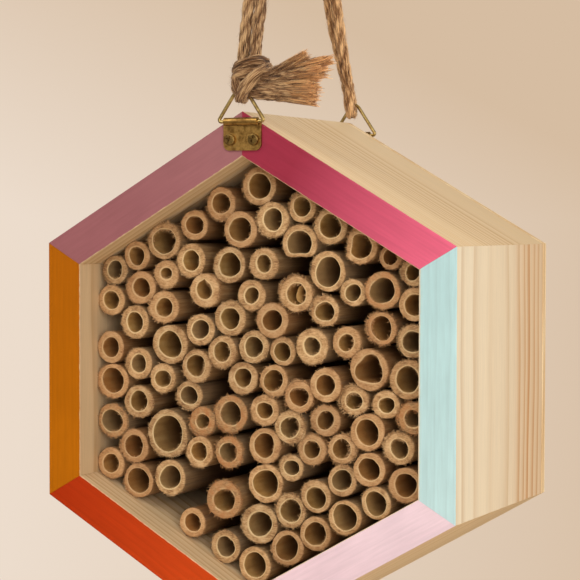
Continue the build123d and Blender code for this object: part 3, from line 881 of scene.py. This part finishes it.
def islands(obj):
    """Centre, radii and depth range of each tube in a CAD node."""
    shape = bmesh.new()
    shape.from_mesh(obj.data)
    bmesh.ops.remove_doubles(shape, verts=shape.verts, dist=2e-6)
    left = set(shape.verts)
    found = []
    while left:
        seed = left.pop()
        group, edge = [seed], [seed]
        while edge:
            v = edge.pop()
            for e in v.link_edges:
                other = e.other_vert(v)
                if other in left:
                    left.discard(other)
                    group.append(other)
                    edge.append(other)
        co = np.array([v.co for v in group])
        low, high = co.min(0), co.max(0)
        middle = (low + high) / 2
        far = np.hypot(co[:, 0] - middle[0], co[:, 2] - middle[2])
        found.append((middle[0], middle[2], far.max(), far.min(), low[1], high[1]))
    shape.free()
    return sorted(found)


def near(angle, at, width):
    """1 at an angle, falling to 0 at width from it, in radians."""
    gap = np.abs((angle - at + math.pi) % TAU - math.pi)
    return np.clip(1 - gap / width, 0, 1) ** 1.5


def outlines(outer, bore, odd, rand):
    """Outline of the skin as shares of outer, and the bore's outline in X and Z."""
    out = 1.030
    for lobes, low, high in ((2, 0.005, 0.060), (3, 0.004, 0.030), (6, 0.002, 0.012)):
        out = out - rand.uniform(low, high) * (1 - np.cos(lobes * (THETA - rand.uniform(0, TAU)))) / 2
    out = out - 0.012 * np.abs(wander(2, SIDES, 1.0, rand, 1)[0])
    inner = 1
    for lobes, low, high in ((2, 0.01, 0.075), (3, 0, 0.04), (7, 0.004, 0.014)):
        inner = inner + rand.uniform(low, high) * np.cos(lobes * (THETA - rand.uniform(0, TAU)))
    if "dent" in odd:
        at, share, width = odd["dent"]
        away = np.clip((THETA - math.radians(at) + math.pi) % TAU - math.pi, -width, width)
        dent = np.maximum(np.cos(away / width * math.pi / 2), 0) ** 1.3
        out = out * (1 - share * dent)
        inner = inner * (1 - 1.15 * share * dent)
    if "egg" in odd:
        at, share = odd["egg"]
        inner = inner * (1 + share * np.cos(THETA - math.radians(at)))
    if "triangle" in odd:
        inner = inner * (1 + odd["triangle"] * np.cos(3 * (THETA - math.radians(80))))
    if "notch" in odd:
        at, share = odd["notch"]
        inner = inner + share * near(THETA, math.radians(at), 0.35)
    off_angle, off = rand.uniform(0, TAU), rand.uniform(0, 0.14) * (outer - bore)
    bore_x = bore * inner * np.cos(THETA) + off * math.cos(off_angle)
    bore_z = bore * inner * np.sin(THETA) + off * math.sin(off_angle)
    return out, bore_x, bore_z


def add_burrs(build, centre, outer, out, bore_x, bore_z, front, fuzz, odd, rand, **extra):
    """Fibres that the saw left on the rim's two edges; front is Y at each side of the rim."""
    burrs = int(40 + 260 * fuzz)
    middle = math.radians(odd["fuzz_at"]) if "fuzz_at" in odd else rand.uniform(0, TAU)
    angle = np.where(rand.random(burrs) < 0.65, rand.normal(middle, 0.75, burrs),
                     rand.uniform(0, TAU, burrs)) % TAU
    pick = (angle / TAU * SIDES).astype(int) % SIDES
    outside = rand.random(burrs) < 0.80
    zero = np.zeros(burrs)
    radial = np.stack([np.cos(angle), zero, np.sin(angle)], 1)
    around = np.stack([-np.sin(angle), zero, np.cos(angle)], 1)
    rim_x = np.where(outside, outer * out[pick] * 0.975 * np.cos(angle), bore_x[pick] * 1.03)
    rim_z = np.where(outside, outer * out[pick] * 0.975 * np.sin(angle), bore_z[pick] * 1.03)
    start = centre + np.stack([rim_x, front[pick], rim_z], 1)
    lead = np.where(outside, 1.0, -1.0)[:, None] * radial * rand.uniform(0.35, 1.0, burrs)[:, None]
    heading = unit(lead + around * rand.normal(0, 0.35, burrs)[:, None] + np.array([0, -0.18, 0]))
    long = rand.uniform(0.40, 0.80 + 0.95 * fuzz, burrs) * MM
    add_hairs(build, start, heading, around * rand.normal(0, 0.25, burrs)[:, None], long,
              rand.uniform(0.07, 0.13 + 0.05 * fuzz, burrs) * MM, slot=RIM, steps=3, own_place="cut",
              tone=rand.uniform(0.1, 1.0, burrs), edge=0.62, **extra)


def add_film(build, centre, bore, y0, span, **extra):
    """A torn sheet of pith that stands inside the bore."""
    count = 24
    sweep = np.radians(np.linspace(*span, count))
    side = np.stack([np.cos(sweep), np.zeros(count), np.sin(sweep)], 1)
    line = centre + bore * np.array([0.44, 0, -0.06]) + side * bore * np.array([0.50, 0, 0.82])
    lip = y0 + (1.0 + 0.5 * np.sin(3 * sweep)) * MM
    length, thick = 13 * MM, 0.14 * MM
    sheet = []
    for inward, at in ((0.0, lip), (0.0, lip + length), (thick, lip + length), (thick, lip)):
        edge = line - side * inward
        edge[:, 1] = at
        sheet.append(edge)
    sheet = np.stack(sheet, 1)
    build.add(sheet, grid_faces(count, len(sheet[0])), BORE, cut=sheet.reshape(-1, 3),
              edge=0.3, burnt=0.1, **extra)


def add_tube(build, cx, cz, outer, bore, y0, y1, odd, rand):
    """One bamboo tube: skin, sawn rim and bore, as one closed mesh."""
    centre = np.array([cx, 0, cz])
    out, bore_x, bore_z = outlines(outer, bore, odd, rand)
    out_x, out_z = outer * out * np.cos(THETA), outer * out * np.sin(THETA)
    depth = y1 - y0
    saw = wander(9, SIDES, 2.0, rand, 2) * 0.05 * MM
    tilt = rand.uniform(0, 0.035) * np.cos(THETA - rand.uniform(0, TAU)) * outer
    tilt = tilt - tilt.min()
    fuzz = odd.get("fuzz", rand.uniform(0.10, 0.60))
    ragged = near(THETA, math.radians(odd["fuzz_at"]), 1.4) if "fuzz_at" in odd else np.ones(SIDES)
    teeth = np.abs(wander(2, SIDES, 1.0, rand, 0)[0]) * 0.55 * MM * fuzz * ragged
    wave = wander(12, SIDES, 2.0, rand, 6) * 0.016
    taper = rand.uniform(-0.02, 0.02)
    rows = []                                    # x, z, y, slot, edge value
    for back in SKIN_RINGS:
        swell = 1 - max(taper, 0) * (1 - back) - max(-taper, 0) * back
        y = np.full(SIDES, y0 + back * depth)
        if back < 0.05:                          # the last two follow the saw cut
            y = y0 + (0.9 if back else 0.40) * MM + tilt + teeth
        rows.append((out_x * swell, out_z * swell, y, SKIN, 1.0))
    front_swell = 1 - max(taper, 0)
    for n, (share, drop) in enumerate(RIM_RINGS):
        x = bore_x + (out_x * front_swell - bore_x) * share
        z = bore_z + (out_z * front_swell - bore_z) * share
        y = y0 + drop * MM + tilt + np.maximum(saw[n], -drop * MM) + teeth * share ** 2
        rows.append((x, z, np.maximum(y, y0), RIM, share))
    for n, back in enumerate(BORE_RINGS):
        swell = 1 + wave[n]
        y = np.full(SIDES, y0 + back * depth) + (tilt if n < 2 else 0)
        rows.append((bore_x * swell, bore_z * swell, y, BORE, 0.0))
    verts = np.array([np.stack([cx + x, y, cz + z], 1) for x, z, y, _, _ in rows])
    edge = np.repeat([share for *_, share in rows], SIDES)
    slots = [slot for _, _, _, slot, _ in rows]
    slots = slots[1:] + [BORE]                   # the faces after a row belong to the next row's slot
    local = verts.reshape(-1, 3) - centre + rand.uniform(0, 5, 3)
    tone = 0.12 if odd.get("dark") else rand.uniform(0.25, 0.95)
    burnt = odd.get("burnt", rand.uniform(0, 0.30))
    hue = rand.uniform(0, 1)
    build.add(verts, grid_faces(len(rows), SIDES, joined=True), np.repeat(slots, SIDES),
              cut=local, tone=tone, edge=edge, burnt=burnt, hue=hue)
    add_burrs(build, centre, outer, out, bore_x, bore_z, y0 + 0.22 * MM + tilt, fuzz, odd, rand,
              burnt=burnt, hue=hue)
    if "film" in odd:
        add_film(build, centre, bore, y0, odd["film"], tone=tone, hue=hue)


for node in sorted(n for n in nodes if n.startswith("bamboo_row")):
    build = Build()
    for cx, cz, outer, bore, y0, y1 in islands(nodes[node]):
        x, z = cx / MM, (cz - CENTRE_Z) / MM
        away, place = min((math.hypot(p[0] - x, p[1] - z), p) for p in ODD_TUBES)
        odd = ODD_TUBES[place] if away < 2.5 else {}
        rand = np.random.default_rng(int(1000 * (x + 200)) + int(1000 * (z + 200)))
        add_tube(build, cx, cz, outer, bore, y0, y1, odd, rand)
    obj = build.mesh(node.replace("bamboo_row", "tubes"), BAMBOO)
    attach(obj, "hotel")
    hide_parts(node)


# ---- brass and nails ----
def metal(name, base, dull, rough):
    """Worn metal: a base colour, a dull one in clouds, and brown spots."""
    s = Shade(name, Metallic=1.0)
    place = s.place()
    cloud = s.noise(place, (500, 500, 500), 4.0, 0.6)
    lines = s.noise(place, (160, 2600, 2600), 3.0, 0.6)
    spots = s.span(s.noise(place, (2400, 2400, 2400), 3.0), 0.60, 0.72)
    colour = s.mix(s.span(cloud, 0.38, 0.66), base, dull)
    colour = s.gain(colour, lines, 0.3, 0.7, 0.88, 1.06)
    colour = s.tint(colour, rgb(70, 52, 30), spots, 0.5)
    clouded = s.span(cloud, 0.3, 0.7, rough - 0.06, rough + 0.12)
    roughness = s.math("ADD", clouded, s.span(lines, 0.3, 0.7, 0.0, 0.06))
    return s.finish(colour, roughness, lines, 0.02, 0.5)


sheet_brass = metal("brassed_sheet", rgb(190, 150, 84), rgb(128, 94, 48), 0.36)
wire_brass = metal("brass_wire", rgb(214, 188, 122), rgb(150, 122, 72), 0.30)
screw_brass = metal("brassed_screw", rgb(160, 130, 74), rgb(92, 68, 38), 0.36)
steel = metal("nail_steel", rgb(150, 146, 138), rgb(96, 90, 84), 0.5)
FINISHES = {
    "front_hanger_plate": sheet_brass, "rear_hanger_plate": sheet_brass, "front_ring": wire_brass,
    "rear_ring": wire_brass, "front_plate_screws": screw_brass, "rear_plate_screws": screw_brass,
    "mitre_brads": steel, "panel_pins": steel,
}
for name, material in FINISHES.items():
    data = nodes[name].data
    data.materials.clear()
    data.materials.append(material)

# ---- floor, light and background ----
FLOOR_Z = cad_box[0].z - 0.12
FLOOR_RADII = (0.001, 0.1, 0.25, 0.5, 0.8, 1.2)
FLOOR_SIDES = 72
# Backdrop, with painted shade that darkens it to the right and upward: the ramp's value is START,
# plus LEAN for each unit of X and LIFT for each of Z above 0.
START, LEAN, LIFT = 1.80, 3.2, 5.5
LAMPS = {
    # name: place, side, watts, colour; each is turned to the middle of the front
    "key": ((0.50, -0.66, -0.10), 0.62, 4.3, (1.0, 0.96, 0.91)),
    "side": ((0.95, 0.30, -0.05), 0.60, 4.7, (1.0, 0.98, 0.95)),
    "front": ((-0.05, -0.85, 0.42), 0.50, 2.3, (1.0, 0.96, 0.90)),
    "top": ((0.35, 0.10, 0.75), 0.60, 2.0, (1.0, 0.96, 0.90)),
    "glint": ((-0.40, -0.48, 0.34), 0.34, 1.5, (1.0, 0.97, 0.88)),
    "left": ((-0.42, -1.10, -0.16), 0.55, 0.45, (1.0, 0.96, 0.90)),
    "back": ((-0.6, 1.1, 0.1), 0.9, 4.2, (1.0, 0.96, 0.90)),
}


def floor_material():
    """Pale floor that fades out towards its rim."""
    s = Shade("floor", Roughness=0.9)
    place = s.place()
    x, y, _ = s.parts(place)
    mottled = s.noise(place, (3, 3, 3), 2.0)
    colour = s.ramp(mottled, [(0.3, rgb(232, 218, 198)), (0.7, rgb(236, 222, 203))])
    s.put(s.surface.inputs["Base Color"], colour)
    s.put(s.surface.inputs["Alpha"], s.span(s.length(x, y), 0.22, 0.62, 1.0, 0.0))
    return s.material


reach, turn = np.meshgrid(FLOOR_RADII, np.arange(FLOOR_SIDES) / FLOOR_SIDES * TAU, indexing="ij")
disc = np.stack([reach * np.cos(turn), reach * np.sin(turn), np.full(turn.shape, FLOOR_Z)], -1)
floor_build = Build()
floor_build.add(disc, grid_faces(len(FLOOR_RADII), FLOOR_SIDES)[:, ::-1])
floor = floor_build.mesh("floor", [floor_material()])

world = bpy.data.worlds.new("studio")
world.use_nodes = True
bpy.context.scene.world = world
w = Nodes(world.node_tree)
x, _, z = w.parts(w.make("ShaderNodeTexCoord", out="Generated"))
# painted shade: the backdrop darker to the right and upward
value = w.math("MULTIPLY_ADD", w.math("MAXIMUM", z, 0.0), LIFT, w.math("MULTIPLY_ADD", x, LEAN, START))
backdrop = w.make("ShaderNodeBackground", {
    "Color": w.ramp(value, [(0.0, rgb(236, 220, 204)), (1.0, rgb(214, 189, 162))])})
glow = w.make("ShaderNodeBackground", {"Color": rgb(255, 240, 222), "Strength": 0.22})
seen = w.make("ShaderNodeLightPath", out="Is Camera Ray")
w.put(w.tree.nodes.new("ShaderNodeOutputWorld").inputs[0],
      w.make("ShaderNodeMixShader", {0: seen, 1: glow, 2: backdrop}))

for name, (place, side, watts, colour) in LAMPS.items():
    light = bpy.data.lights.new(name, "AREA")
    light.shape = "SQUARE"
    light.size = side
    light.energy = watts
    light.color = colour
    lamp = link(name, light)
    lamp.location = place
    lamp.rotation_mode = "QUATERNION"
    lamp.rotation_quaternion = (FRONT - Vector(place)).to_track_quat("-Z", "Y")
